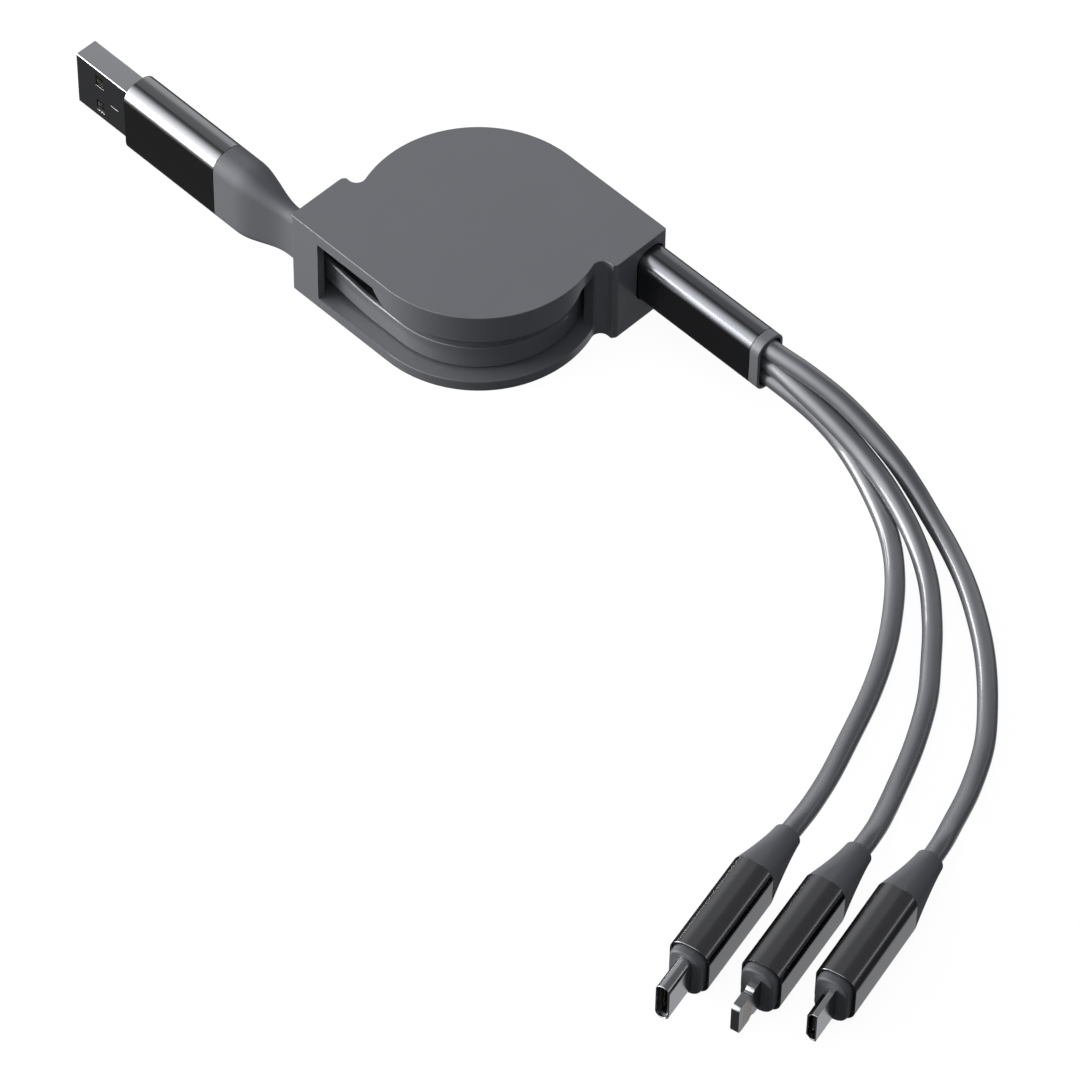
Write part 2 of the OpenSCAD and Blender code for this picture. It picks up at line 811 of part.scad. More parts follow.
// Device plugs, drawn pointing along +X with the sleeve's front end at the origin

module at_plug(i) {
    translate([plug_spots[i].x, plug_spots[i].y, plug_z]) rotate([0, 0, plug_turns[i]]) children();
}

module plug_sleeve() {
    color(black_metal)
    along_x(-plug_sleeve_l, 0)
        difference() {
            round_rect(plug_half_t, plug_half_h, plug_corner);
            round_rect(plug_half_t - sleeve_wall, plug_half_h - sleeve_wall, plug_corner - sleeve_wall);
        }
}

// Concave boot from the sleeve down to a round end that is wider than the cord
module plug_boot() {
    lip = 0.5;
    steps = 7;
    taper = [
        for (s = [steps:-1:0])
            let (t = s / steps, w = 1 - pow(1 - t, 1.3))
            ring_at(-plug_sleeve_l - (plug_boot_l - lip) * t, 0, 0,
                    section(blend(plug_half_t, boot_end_r, w), blend(plug_half_h, boot_end_r, w),
                            blend(plug_corner, boot_end_r - eps, w), 4))
    ];
    tip = ring_at(boot_end, 0, 0,
                  section(boot_end_r - lip / 2, boot_end_r - lip / 2, boot_end_r - lip / 2 - eps, 4));
    color(boot_grey) loft(concat([tip], taper));
}

// Moulded nose: it fills the sleeve and stands out of it with a rounded rim. The outline
// handed to it is that of the metal part set in it.
module plug_nose() {
    half_t = plug_half_t - sleeve_wall - nose_inset;
    half_h = plug_half_h - sleeve_wall - nose_inset;
    r = plug_corner - sleeve_wall - nose_inset;
    round_over = [[0, 0], [0.18, 0.03], [0.34, 0.12], [0.45, 0.25], [0.5, 0.45]];
    color(boot_grey)
    difference() {
        union() {
            along_x(-plug_sleeve_l, -nose_groove)
                round_rect(plug_half_t - sleeve_wall, plug_half_h - sleeve_wall, plug_corner - sleeve_wall);
            loft(concat(
                [ring_at(-nose_groove - eps, 0, 0, section(half_t, half_h, r, 4))],
                [for (p = round_over)
                    ring_at(nose_out - 0.5 + p.x, 0, 0, section(half_t - p.y, half_h - p.y, r - p.y, 4))]));
        }
        along_x(-plug_sleeve_l / 2, nose_out + 1) children();
    }
}

// USB-C

module usb_c_boot() {
    at_plug(0) plug_boot();
}

module usb_c_sleeve() {
    at_plug(0) plug_sleeve();
}

module usb_c_nose() {
    at_plug(0) plug_nose() usb_c_outline(0);
}

module usb_c_outline(inset) {
    round_rect(usb_c_t / 2 - inset, usb_c_w / 2 - inset, usb_c_t / 2 - inset - eps);
}

module usb_c_shell() {
    color(steel)
    at_plug(0)
        along_x(-plug_sleeve_l / 2, nose_out + usb_c_out)
            difference() {
                usb_c_outline(0);
                usb_c_outline(small_wall);
            }
}

// Plastic lining of the shell, open in the middle for the socket's tongue
module usb_c_liner() {
    slot_t = 1;
    slot_w = 6.9;
    color(dark_plastic)
    at_plug(0)
        difference() {
            along_x(-plug_sleeve_l / 2, nose_out + usb_c_out - 0.6) usb_c_outline(small_wall);
            translate([nose_out, -slot_t / 2, -slot_w / 2]) cube([usb_c_out, slot_t, slot_w]);
        }
}

// Two rows of contacts on the lining
module usb_c_contacts() {
    pad = [4, 0.1, 0.28];
    color(gold)
    at_plug(0)
        for (row = [-1, 1], i = [0:11])
            translate([nose_out + 1.2, row * 0.45 - pad.y / 2, (i - 5.5) * 0.5 - pad.z / 2])
                cube(pad);
}

// Eight-contact plug

module eight_pin_boot() {
    at_plug(1) plug_boot();
}

module eight_pin_sleeve() {
    at_plug(1) plug_sleeve();
}

module eight_pin_nose() {
    at_plug(1) plug_nose() square([eight_t, eight_w], center = true);
}

module eight_outline() {
    tip_r = 0.9;
    translate([-plug_sleeve_l / 2, -eight_w / 2])
        square([plug_sleeve_l / 2 + nose_out + eight_out - tip_r, eight_w]);
    translate([0, tip_r - eight_w / 2])
        square([nose_out + eight_out, eight_w - 2 * tip_r]);
    for (side = [-1, 1])
        translate([nose_out + eight_out - tip_r, side * (eight_w / 2 - tip_r)]) circle(tip_r);
}

// Solid blade with a catch notch in each edge and shallow beds for the contacts
module eight_pin_tip() {
    catch_r = 0.75;
    catch_x = nose_out + 2.6;
    color(steel)
    at_plug(1)
        difference() {
            rotate([90, 0, 0])
                linear_extrude(eight_t, center = true)
                    difference() {
                        eight_outline();
                        for (side = [-1, 1])
                            translate([catch_x, side * (eight_w / 2 + 0.25)]) circle(catch_r);
                    }
            eight_beds(0.1);
        }
}

// Places of the eight contacts on each face; the gap is left round and under them
module eight_beds(depth) {
    pad = [2.4, 0.36];
    for (face = [-1, 1], i = [0:7])
        translate([nose_out + 3.9, face * eight_t / 2, (i - 3.5) * 0.66])
            cube([pad.x, 2 * depth, pad.y], center = true);
}

module eight_pin_contacts() {
    color(gold)
    at_plug(1)
        intersection() {
            eight_beds(0.1);
            translate([nose_out + eight_out / 2, 0, 0]) cube([eight_out, eight_t, eight_w], center = true);
        }
}

// Micro-USB

module micro_usb_boot() {
    at_plug(2) plug_boot();
}

module micro_usb_sleeve() {
    at_plug(2) plug_sleeve();
}

module micro_usb_nose() {
    at_plug(2) plug_nose() micro_outline(0);
}

// A flat shape that is narrower along one wide side
module micro_outline(inset) {
    t = micro_t / 2 - inset;
    w = micro_w / 2 - inset;
    polygon([[-t, -w + micro_slant], [0, -w], [t, -w], [t, w], [0, w], [-t, w - micro_slant]]);
}

module micro_usb_shell() {
    color(steel)
    at_plug(2)
        along_x(-plug_sleeve_l / 2, nose_out + micro_out)
            difference() {
                micro_outline(0);
                micro_outline(small_wall);
            }
}

module micro_usb_tongue() {
    tongue_t = 0.6;
    color(dark_plastic)
    at_plug(2)
        union() {
            along_x(-plug_sleeve_l / 2, nose_out) micro_outline(small_wall);
            translate([nose_out - eps, -tongue_t / 2, -1.9]) cube([micro_out - 0.8, tongue_t, 3.8]);
        }
}

module micro_usb_contacts() {
    pad = [3.6, 0.1, 0.4];
    color(gold)
    at_plug(2)
        for (i = [-2:2])
            translate([nose_out + 0.6, 0.3, i * 0.65 - pad.z / 2]) cube(pad);
}

case_bottom();
case_top();
case_screws();
spool();
cable_winding();
spiral_spring();
ratchet_cover();
ratchet_pawl();
usb_a_flat_cable();
splitter_flat_cable();
usb_a_shell();
usb_a_tongue();
usb_a_contacts();
usb_a_core();
usb_a_sleeve();
usb_a_boot();
splitter_sleeve();
splitter_core();
splitter_collar();
usb_c_cord();
eight_pin_cord();
micro_usb_cord();
usb_c_boot();
usb_c_sleeve();
usb_c_nose();
usb_c_shell();
usb_c_liner();
usb_c_contacts();
eight_pin_boot();
eight_pin_sleeve();
eight_pin_nose();
eight_pin_tip();
eight_pin_contacts();
micro_usb_boot();
micro_usb_sleeve();
micro_usb_nose();
micro_usb_shell();
micro_usb_tongue();
micro_usb_contacts();
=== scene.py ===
"""Looks of a retractable charging cable: reel case, A plug, splitter and three device plugs on cords."""

import json
import math

import bpy
from mathutils import Matrix, Vector

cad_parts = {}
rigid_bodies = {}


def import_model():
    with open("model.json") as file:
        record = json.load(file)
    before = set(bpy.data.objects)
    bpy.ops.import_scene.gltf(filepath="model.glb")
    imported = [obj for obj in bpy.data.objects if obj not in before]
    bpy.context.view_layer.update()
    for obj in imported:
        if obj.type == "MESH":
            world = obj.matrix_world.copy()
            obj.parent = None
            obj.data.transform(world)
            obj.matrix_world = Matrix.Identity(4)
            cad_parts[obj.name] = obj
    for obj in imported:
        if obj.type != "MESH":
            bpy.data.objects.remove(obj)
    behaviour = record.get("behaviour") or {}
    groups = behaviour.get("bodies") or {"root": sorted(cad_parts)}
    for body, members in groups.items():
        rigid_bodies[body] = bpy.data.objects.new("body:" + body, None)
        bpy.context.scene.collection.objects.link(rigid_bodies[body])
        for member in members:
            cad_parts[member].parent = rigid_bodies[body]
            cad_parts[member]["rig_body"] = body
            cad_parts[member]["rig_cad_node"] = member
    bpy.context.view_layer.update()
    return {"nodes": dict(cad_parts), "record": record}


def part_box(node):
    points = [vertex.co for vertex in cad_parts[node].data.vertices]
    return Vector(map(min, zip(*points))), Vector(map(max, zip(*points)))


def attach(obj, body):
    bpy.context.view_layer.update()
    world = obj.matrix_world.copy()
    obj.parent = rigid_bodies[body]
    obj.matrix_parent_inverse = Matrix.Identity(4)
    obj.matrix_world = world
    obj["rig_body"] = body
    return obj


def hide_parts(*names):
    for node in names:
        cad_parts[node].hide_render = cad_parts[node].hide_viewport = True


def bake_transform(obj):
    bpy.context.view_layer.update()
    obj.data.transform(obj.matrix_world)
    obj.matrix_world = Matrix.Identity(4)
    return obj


MM = 0.001

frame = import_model()
nodes = frame["nodes"]


# What the solids give, in metres: the middle and the half sizes of a node
def middle(node):
    low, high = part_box(node)
    return (low + high) / 2


def half_size(node):
    low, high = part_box(node)
    return (high - low) / 2


# The case, in millimetres: its floor, how far inside the arched sides edges still count as outer ones, and
# the width of those edges' rounding
FLOOR_THICKNESS = 2.2
OUTER_BAND = 1.0
CASE_EDGE = 0.12

# Where the device plugs lie: the middle of each sleeve's front end in millimetres, and the way that it
# points, in degrees from the X axis
PLUG_SPOTS = {"usb_c": (125.2, -77.4), "eight_pin": (135.5, -71.8), "micro_usb": (144.8, -64.8)}
PLUG_TURNS = {"usb_c": -77.0, "eight_pin": -77.0, "micro_usb": -76.5}

# The device plugs' sleeves and boots, in millimetres
PLUG_HALF_WIDTH = 3.65
PLUG_HALF_HEIGHT = 5.55
PLUG_CORNER = 3.0
SLEEVE_LENGTH = 19.5
BOOT_LENGTH = 11.0
BOOT_END_RADIUS = 2.4

# What keeps a half-round section from having two points in one place, in millimetres
HAIR = 0.01

# The boot of the A plug and the flat cables, in millimetres. The part of a turn that a cable lies round the
# reel is in degrees
A_CORNER = 3.0
NECK_HALF_WIDTH = 1.7
NECK_HALF_HEIGHT = 5.6
MOUTH_END = 20.2
FLAT_HALF_WIDTH = 0.5
FLAT_HALF_HEIGHT = 2.6
FLAT_CORNER = 0.42
FLAT_RADIUS = 18.05
FLAT_LEVEL = 5.05
FLAT_WRAP = 130

# How far each flat cable climbs on the way to its mouth, in millimetres, and the share of the way before it
USB_A_RUN = (1.8, 0.29)
SPLITTER_RUN = (3, 0.36)

# The cords, in millimetres: the same points as in the part's source
CORD_WIDTH = 3.5
CORD_START = (49.9, 17.65, 10.85)
CORD_ROUTES = {
    "usb_c": [
        (53, 17.65, 7.35), (57.9, 17.9, 6.75), (63.1, 18.2, 5.45), (69.3, 17.7, 3.65), (77.1, 15.2, 2.2),
        (86, 10.5, 1.8), (93, 4.5, 1.8), (99, -2.8, 1.8), (103.2, -9.3, 1.8), (107, -16.8, 1.8),
        (110.5, -25.3, 1.9), (113.7, -33.1, 2.6), (116.3, -40.1, 4.2), (117.6, -44.4, 5.2),
    ],
    "eight_pin": [
        (53, 17.65, 10.85), (59.9, 17.2, 10.35), (66.7, 17, 9.1), (73.5, 16.6, 7.35), (80.9, 15.3, 5.5),
        (89.4, 12.5, 3.3), (97, 8.1, 2), (103.8, 1.9, 1.8), (109, -4, 1.8), (114, -10.3, 1.8),
        (118.8, -18.6, 1.8), (123, -27.6, 2.4), (126.2, -34.6, 4), (127.7, -38.6, 5.1),
    ],
    "micro_usb": [
        (53, 17.65, 14.35), (58.9, 18.4, 13.75), (65.6, 19.25, 12.2), (72.4, 19.6, 9.8), (78.8, 19.5, 7),
        (84.1, 18.8, 4.55), (89, 17.5, 2.95), (95, 15.4, 2.1), (102, 12, 1.8), (109, 7.4, 1.8),
        (115, 2.6, 1.8), (121, -3.4, 1.8), (126.7, -10.4, 1.8), (131.2, -18.7, 2.2), (134.7, -26.9, 3.9),
        (136.5, -31.2, 5.1),
    ],
}

# Solids that keep their form: the finish, the width of the rounded edges in millimetres, their steps, and
# the least angle, in degrees, between the faces of an edge that is rounded
USB_A_SOLIDS = {
    "usb_a_tongue": ("tongue", 0.1, 2, 35), "usb_a_contacts": ("contact", 0.04, 2, 35),
    "usb_a_core": ("boot", 0.08, 2, 35), "usb_a_sleeve": ("sleeve", 0.1, 3, 35),
}
SPLITTER_SOLIDS = {
    "splitter_sleeve": ("splitter sleeve", 0.1, 3, 35), "splitter_core": ("core", 0.08, 2, 35),
    "splitter_collar": ("collar", 0.12, 3, 35),
}
DEVICE_SOLIDS = {"sleeve": ("device sleeve", 0.1, 3, 35), "nose": ("nose", 0.08, 2, 50)}
DEVICE_TIPS = {
    "usb_c": {"shell": ("device shell", 0.08, 3, 60), "liner": ("tongue", 0.05, 2, 35),
              "contacts": ("contact", 0.02, 1, 35)},
    "eight_pin": {"tip": ("tip", 0.08, 3, 35), "contacts": ("contact", 0.02, 1, 35)},
    "micro_usb": {"shell": ("device shell", 0.06, 3, 35), "tongue": ("tongue", 0.05, 2, 35),
                  "contacts": ("contact", 0.02, 1, 35)},
}

# The shell of the A plug: the solid's corner radius and the one it gets, then its rounded edges
SHELL_CORNERS = (0.4, 0.18)
SHELL_EDGES = (0.04, 2, 35)

# Solids that are shown as they are, with their finishes
PLAIN_SOLIDS = {
    "case_screws": "screw", "spool": "reel", "cable_winding": "flat cable", "spiral_spring": "spring",
    "ratchet_cover": "reel", "ratchet_pawl": "spring",
}

# What glossy surfaces show: where each light's middle is, how it fades in towards that, and its strength
SIDE_LIGHT = {"middle": (-0.43, -0.75, 0.5), "fade": (0.45, 1.0), "strength": 4.6}
BACK_LIGHT = {"middle": (-0.5, 0.8, 0.2), "fade": (0.67, 0.98), "strength": 1.15}
FAR_LINE = {"middle": (0.7, 0.7, 0), "fade": (0.75, 0.95), "strength": 1}
FLOOR_PATCH = {"middle": (0, 0.55, -0.83), "fade": (0.89, 0.94), "strength": 0.42}


# Camera, at the photograph's angle

def place_camera():
    azimuth, elevation, roll = math.radians(44.243), math.radians(51.49), math.radians(0.968)
    aim = Vector((45.307, -30.462, 0)) * MM
    distance = 1.1088
    back = Vector((math.sin(azimuth) * math.cos(elevation), -math.cos(azimuth) * math.cos(elevation),
                   math.sin(elevation)))
    right = Vector((math.cos(azimuth), math.sin(azimuth), 0))
    up = back.cross(right)
    turned_right = right * math.cos(roll) + up * math.sin(roll)
    turned_up = up * math.cos(roll) - right * math.sin(roll)
    bpy.ops.object.camera_add()
    camera = bpy.context.object
    camera.name = "photo_camera"
    place = Matrix((turned_right, turned_up, back)).transposed().to_4x4()
    place.translation = aim + back * distance
    camera.matrix_world = place
    camera.data.lens = 223.1
    camera.data.sensor_width = 36
    camera.data.clip_end = 20
    bpy.context.scene.camera = camera


# Work on one piece at a time

def pick(piece):
    """Selects this piece and nothing else."""
    if bpy.context.object and bpy.context.object.mode != "OBJECT":
        bpy.ops.object.mode_set(mode="OBJECT")
    bpy.ops.object.select_all(action="DESELECT")
    piece.hide_set(False)
    piece.select_set(True)
    bpy.context.view_layer.objects.active = piece


def round_edges(piece, width, segments, angle):
    pick(piece)
    bevel = piece.modifiers.new("rounded edges", "BEVEL")
    bevel.width = width * MM
    bevel.segments = segments
    bevel.limit_method = "ANGLE"
    bevel.angle_limit = math.radians(angle)
    bevel.use_clamp_overlap = True
    bpy.ops.object.modifier_apply(modifier=bevel.name)


def smooth(piece, angle=40, flat_faces=True):
    pick(piece)
    bpy.ops.object.shade_smooth_by_angle(angle=math.radians(angle))
    if flat_faces:
        weighted = piece.modifiers.new("flat faces stay flat", "WEIGHTED_NORMAL")
        weighted.keep_sharp = True
        weighted.weight = 80
        bpy.ops.object.modifier_apply(modifier=weighted.name)


def body_of_node(node):
    bodies = frame["record"]["behaviour"]["bodies"]
    return next(body for body, members in bodies.items() if node in members)


def dress(piece, finish):
    piece.data.materials.clear()
    piece.data.materials.append(finish)


def finish_piece(piece, finish, node):
    """Gives a piece its finish and lets it stand for its solid, on the same body."""
    dress(piece, finish)
    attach(piece, body_of_node(node))
    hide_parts(node)


def round_outline(piece, width, height):
    """Rounds the outer upper edge of a plate whose top lies at this height, in millimetres."""
    reach, slack = half_size("case_top").y - OUTER_BAND * MM, 0.01
    mesh, place = piece.data, piece.matrix_world
    beside = {}
    for face in mesh.polygons:
        for key in face.edge_keys:
            beside.setdefault(key, []).append(face)
    for part in (*mesh.vertices, *mesh.edges, *mesh.polygons):
        part.select = False
    for edge in mesh.edges:
        ends = [place @ mesh.vertices[end].co for end in edge.vertices]
        if any(end.xy.length < reach or abs(end.z - height * MM) > slack * MM for end in ends):
            continue
        level = [face for face in beside[edge.key] if face.normal.z > 1 - slack]
        upright = [face for face in beside[edge.key] if abs(face.normal.z) < slack]
        if len(level) == 1 and len(upright) == 1:
            edge.select = upright[0].center.z < level[0].center.z
    pick(piece)
    bpy.ops.object.mode_set(mode="EDIT")
    bpy.ops.mesh.select_mode(type="EDGE")
    bpy.ops.mesh.bevel(offset=width * MM, segments=3, affect="EDGES")
    bpy.ops.object.mode_set(mode="OBJECT")


def tighten_corners(piece, node, old, new):
    """Gives the four long outer corners of a drawn shell a smaller radius, in millimetres."""
    centre, half = middle(node), half_size(node)
    shift = Vector((0, 1, 1)) * (old - new) * MM
    to_mesh, slack = piece.matrix_world.inverted(), 0.01
    for vertex in piece.data.vertices:
        place = piece.matrix_world @ vertex.co
        from_middle = place - centre
        offset = Vector((0, abs(from_middle.y) - half.y + old * MM, abs(from_middle.z) - half.z + old * MM))
        if min(offset.yz) < -slack ** 2 * MM or abs(offset.length - old * MM) > slack * MM:
            continue
        move = offset * (new / old) + shift - offset
        place.y += math.copysign(move.y, from_middle.y)
        place.z += math.copysign(move.z, from_middle.z)
        vertex.co = to_mesh @ place


def merged_copy(node):
    """A copy of a solid that can be worked on: its faces joined, flat ones made whole."""
    pick(nodes[node])
    bpy.ops.object.duplicate()
    piece = bpy.context.object
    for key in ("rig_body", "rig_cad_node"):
        del piece[key]
    bpy.ops.object.parent_clear(type="CLEAR_KEEP_TRANSFORM")
    piece.name = node + "_finished"
    bpy.ops.object.mode_set(mode="EDIT")
    bpy.ops.mesh.select_all(action="SELECT")
    bpy.ops.mesh.customdata_custom_splitnormals_clear()
    bpy.ops.mesh.remove_doubles(threshold=0.0005 * MM)
    bpy.ops.mesh.dissolve_limited(angle_limit=math.radians(0.5))
    bpy.ops.object.mode_set(mode="OBJECT")
    return piece


def softened(node, finish, width, segments, angle, corners=None):
    """A copy of a solid whose sharp edges are slightly rounded, as a mould or a press leaves them.
    corners gives the old and the new radius of its long corners."""
    piece = merged_copy(node)
    if corners:
        tighten_corners(piece, node, *corners)
    round_edges(piece, width, segments, angle)
    smooth(piece)
    finish_piece(piece, finish, node)
    return piece


def softened_plate(node, finish, height):
    """A copy of one half of the case. Only the outer upper edge of its plate, at this height, is rounded."""
    piece = merged_copy(node)
    round_outline(piece, CASE_EDGE, height)
    smooth(piece)
    finish_piece(piece, finish, node)


def rounded_section(half_x, half_y, radius, steps):
    """Points of a rectangle with round corners, steps + 1 for each corner."""
    points = []
    for corner in range(4):
        middle_x = (half_x - radius) * (1 if corner in (0, 3) else -1)
        middle_y = (half_y - radius) * (1 if corner < 2 else -1)
        for step in range(steps + 1):
            turn = math.radians(90 * corner + 90 * step / steps)
            points.append((middle_x + radius * math.cos(turn), middle_y + radius * math.sin(turn)))
    return points


def rolled_up(name, rings):
    """A closed skin through rings of points: a flat grid whose rows are laid on the rings, then closed."""
    across, along = len(rings[0]), len(rings)
    bpy.ops.object.select_all(action="DESELECT")
    bpy.ops.mesh.primitive_grid_add(x_subdivisions=across, y_subdivisions=along - 1, size=1)
    piece = bpy.context.object
    piece.name = name
    for number, point in enumerate(piece.data.vertices):
        row, column = divmod(number, across + 1)
        point.co = rings[row][column % across]
    bpy.ops.object.mode_set(mode="EDIT")
    bpy.ops.mesh.select_all(action="SELECT")
    bpy.ops.mesh.remove_doubles(threshold=0.0001 * MM)
    bpy.ops.mesh.select_all(action="DESELECT")
    bpy.ops.mesh.select_non_manifold()
    bpy.ops.mesh.fill_holes(sides=0)
    bpy.ops.mesh.select_all(action="SELECT")
    bpy.ops.mesh.normals_make_consistent(inside=False)
    bpy.ops.object.mode_set(mode="OBJECT")
    return piece


def mix(a, b, share):
    return a + (b - a) * share


def ease(t):
    t = min(max(t, 0), 1)
    return t * t * (3 - 2 * t)


def ring_across(x, y, z, section):
    """A section standing square to the X axis."""
    return [Vector((x, y + p[0], z + p[1])) * MM for p in section]


def turn_to_plug(rings, plug):
    """Rings drawn along +X with the sleeve's front at the origin, set where that plug lies."""
    turn = Matrix.Rotation(math.radians(PLUG_TURNS[plug]), 3, "Z")
    spot = Vector((*PLUG_SPOTS[plug], PLUG_HALF_HEIGHT)) * MM
    return [[turn @ p + spot for p in ring] for ring in rings]


# Finishes

def new_surface_group(name):
    """An empty surface pattern: it takes a place, a size, a colour and a roughness with their changes."""
    group = bpy.data.node_groups.new(name, "ShaderNodeTree")
    for socket, kind in (("Vector", "Vector"), ("Pattern Size", "Float"), ("Colour", "Color"),
                         ("Tone Change", "Float"), ("Roughness", "Float"), ("Roughness Change", "Float")):
        group.interface.new_socket(name=socket, in_out="INPUT", socket_type="NodeSocket" + kind)
    for socket, kind in (("Colour", "Color"), ("Roughness", "Float"), ("Height", "Float")):
        group.interface.new_socket(name=socket, in_out="OUTPUT", socket_type="NodeSocket" + kind)
    return group, group.nodes.new("NodeGroupInput")


def change_with(group, given, pattern, height):
    """Lets colour and roughness change with a pattern about its middle value, and passes a height on."""
    link = group.links.new
    centred = group.nodes.new("ShaderNodeMath")
    centred.operation = "SUBTRACT"
    centred.inputs[1].default_value = 0.5
    link(pattern, centred.inputs[0])
    tone = group.nodes.new("ShaderNodeMath")
    tone.operation = "MULTIPLY_ADD"
    tone.inputs[2].default_value = 1
    link(centred.outputs[0], tone.inputs[0])
    link(given.outputs["Tone Change"], tone.inputs[1])
    colour = group.nodes.new("ShaderNodeVectorMath")
    colour.operation = "SCALE"
    link(given.outputs["Colour"], colour.inputs[0])
    link(tone.outputs[0], colour.inputs["Scale"])
    gloss = group.nodes.new("ShaderNodeMath")
    gloss.operation = "MULTIPLY_ADD"
    link(centred.outputs[0], gloss.inputs[0])
    link(given.outputs["Roughness Change"], gloss.inputs[1])
    link(given.outputs["Roughness"], gloss.inputs[2])
    result = group.nodes.new("NodeGroupOutput")
    link(colour.outputs[0], result.inputs["Colour"])
    link(gloss.outputs[0], result.inputs["Roughness"])
    link(height, result.inputs["Height"])


def moulded_grain():
    """Fine grain of a mould: a height, and a slow change of tone and gloss."""
    group, given = new_surface_group("moulded grain")
    grain = group.nodes.new("ShaderNodeTexNoise")
    grain.inputs["Detail"].default_value = 2
    group.links.new(given.outputs["Vector"], grain.inputs["Vector"])
    group.links.new(given.outputs["Pattern Size"], grain.inputs["Scale"])
    slow = group.nodes.new("ShaderNodeTexNoise")
    slow.inputs["Scale"].default_value = 90
    slow.inputs["Detail"].default_value = 3
    group.links.new(given.outputs["Vector"], slow.inputs["Vector"])
    change_with(group, given, slow.outputs["Fac"], grain.outputs["Fac"])
    return group


def drawn_metal():
    """Faint lines that run along a drawn or polished metal part, in the direction that isn't squeezed."""
    group, given = new_surface_group("drawn metal")
    squeeze = group.nodes.new("ShaderNodeMapping")
    squeeze.inputs["Scale"].default_value = (0.04, 1, 1)
    group.links.new(given.outputs["Vector"], squeeze.inputs["Vector"])
    lines = group.nodes.new("ShaderNodeTexNoise")
    lines.inputs["Detail"].default_value = 3
    group.links.new(squeeze.outputs[0], lines.inputs["Vector"])
    group.links.new(given.outputs["Pattern Size"], lines.inputs["Scale"])
    change_with(group, given, lines.outputs["Fac"], lines.outputs["Fac"])
    return group


def finish_from(name, group, size, colour, tone, rough, rough_change, bump, metallic=0.0, turn=0.0):
    """A finish made from one of the two shared surface patterns."""
    material = bpy.data.materials.new(name)
    material.use_nodes = True
    tree = material.node_tree
    shader = tree.nodes["Principled BSDF"]
    place = tree.nodes.new("ShaderNodeTexCoord")
    turned = tree.nodes.new("ShaderNodeMapping")
    turned.inputs["Rotation"].default_value = (0, 0, math.radians(turn))
    surface = tree.nodes.new("ShaderNodeGroup")
    surface.node_tree = group
    surface.inputs["Pattern Size"].default_value = size
    surface.inputs["Colour"].default_value = (*colour, 1)
    surface.inputs["Tone Change"].default_value = tone
    surface.inputs["Roughness"].default_value = rough
    surface.inputs["Roughness Change"].default_value = rough_change
    relief = tree.nodes.new("ShaderNodeBump")
    relief.inputs["Strength"].default_value = bump
    relief.inputs["Distance"].default_value = 0.00005
    link = tree.links.new
    link(place.outputs["Object"], turned.inputs["Vector"])
    link(turned.outputs[0], surface.inputs["Vector"])
    link(surface.outputs["Colour"], shader.inputs["Base Color"])
    link(surface.outputs["Roughness"], shader.inputs["Roughness"])
    link(surface.outputs["Height"], relief.inputs["Height"])
    link(relief.outputs[0], shader.inputs["Normal"])
    shader.inputs["Metallic"].default_value = metallic
    return material


def add_coat(material, weight, rough):
    """A thin clear skin over a soft jacket."""
    shader = material.node_tree.nodes["Principled BSDF"]
    shader.inputs["Coat Weight"].default_value = weight
    shader.inputs["Coat Roughness"].default_value = rough


def make_finishes():
    grain, drawn = moulded_grain(), drawn_metal()
    grey = (0.145, 0.148, 0.158)
    soft_grey = (0.122, 0.125, 0.134)
    steel = (0.46, 0.465, 0.475)
    black_metal = (0.19, 0.191, 0.195)
    plug_turn = -PLUG_TURNS["usb_c"]

    def moulded(name, size, colour, rough, bump):
        return finish_from(name, grain, size, colour, 0.05, rough, 0.06, bump)

    def metal(name, size, colour, rough, bump, turn=0.0):
        return finish_from(name, drawn, size, colour, 0.06, rough, 0.05, bump, 1.0, turn)

    # Each one: its name, the size of its pattern, its colour, its roughness and the strength of its relief
    finishes = {
        "case": moulded("case plastic", 5200, grey, 0.42, 0.12),
        "reel": moulded("reel plastic", 4200, (0.11, 0.112, 0.118), 0.45, 0.2),
        "boot": moulded("boot moulding", 4600, soft_grey, 0.62, 0.15),
        "nose": moulded("nose moulding", 5000, (0.11, 0.112, 0.12), 0.5, 0.12),
        "core": moulded("core moulding", 5000, (0.03, 0.03, 0.033), 0.5, 0.2),
        "cord": moulded("cord jacket", 3600, grey, 0.4, 0.15),
        "flat cable": moulded("flat cable jacket", 3600, grey, 0.35, 0.12),
        "collar": moulded("collar satin", 5200, (0.17, 0.175, 0.18), 0.4, 0.12),
        "tongue": moulded("tongue moulding", 5200, (0.02, 0.02, 0.022), 0.3, 0.1),
        "sleeve": metal("sleeve metal", 700, black_metal, 0.19, 0.006),
        # The splitter's sleeve is the same sleeve metal painted darker: painted shade that dims the light it
        # reflects
        "splitter sleeve": metal("splitter sleeve metal with painted shade", 700, (0.12, 0.122, 0.129), 0.24, 0.006),
        "device sleeve": metal("device sleeve metal", 700, black_metal, 0.19, 0.003, plug_turn),
        "shell": metal("shell steel", 800, steel, 0.13, 0.008),
        "device shell": metal("device shell steel", 900, (0.55, 0.555, 0.565), 0.18, 0.01, plug_turn),
        "tip": metal("tip steel", 900, (0.36, 0.365, 0.375), 0.24, 0.01, plug_turn),
        "spring": metal("spring steel", 800, (0.4, 0.4, 0.41), 0.3, 0.05),
        "screw": metal("screw zinc", 900, (0.35, 0.35, 0.36), 0.35, 0.05),
        "contact": metal("contact plate", 900, (0.42, 0.38, 0.28), 0.25, 0.02),
    }
    add_coat(finishes["case"], 0.6, 0.12)
    add_coat(finishes["cord"], 0.8, 0.08)
    add_coat(finishes["flat cable"], 0.8, 0.07)
    for name in ("boot", "nose"):
        finishes[name].node_tree.nodes["Principled BSDF"].inputs["Specular IOR Level"].default_value = 0.3
    return finishes


# The stage: floor, lamps and what the metal reflects

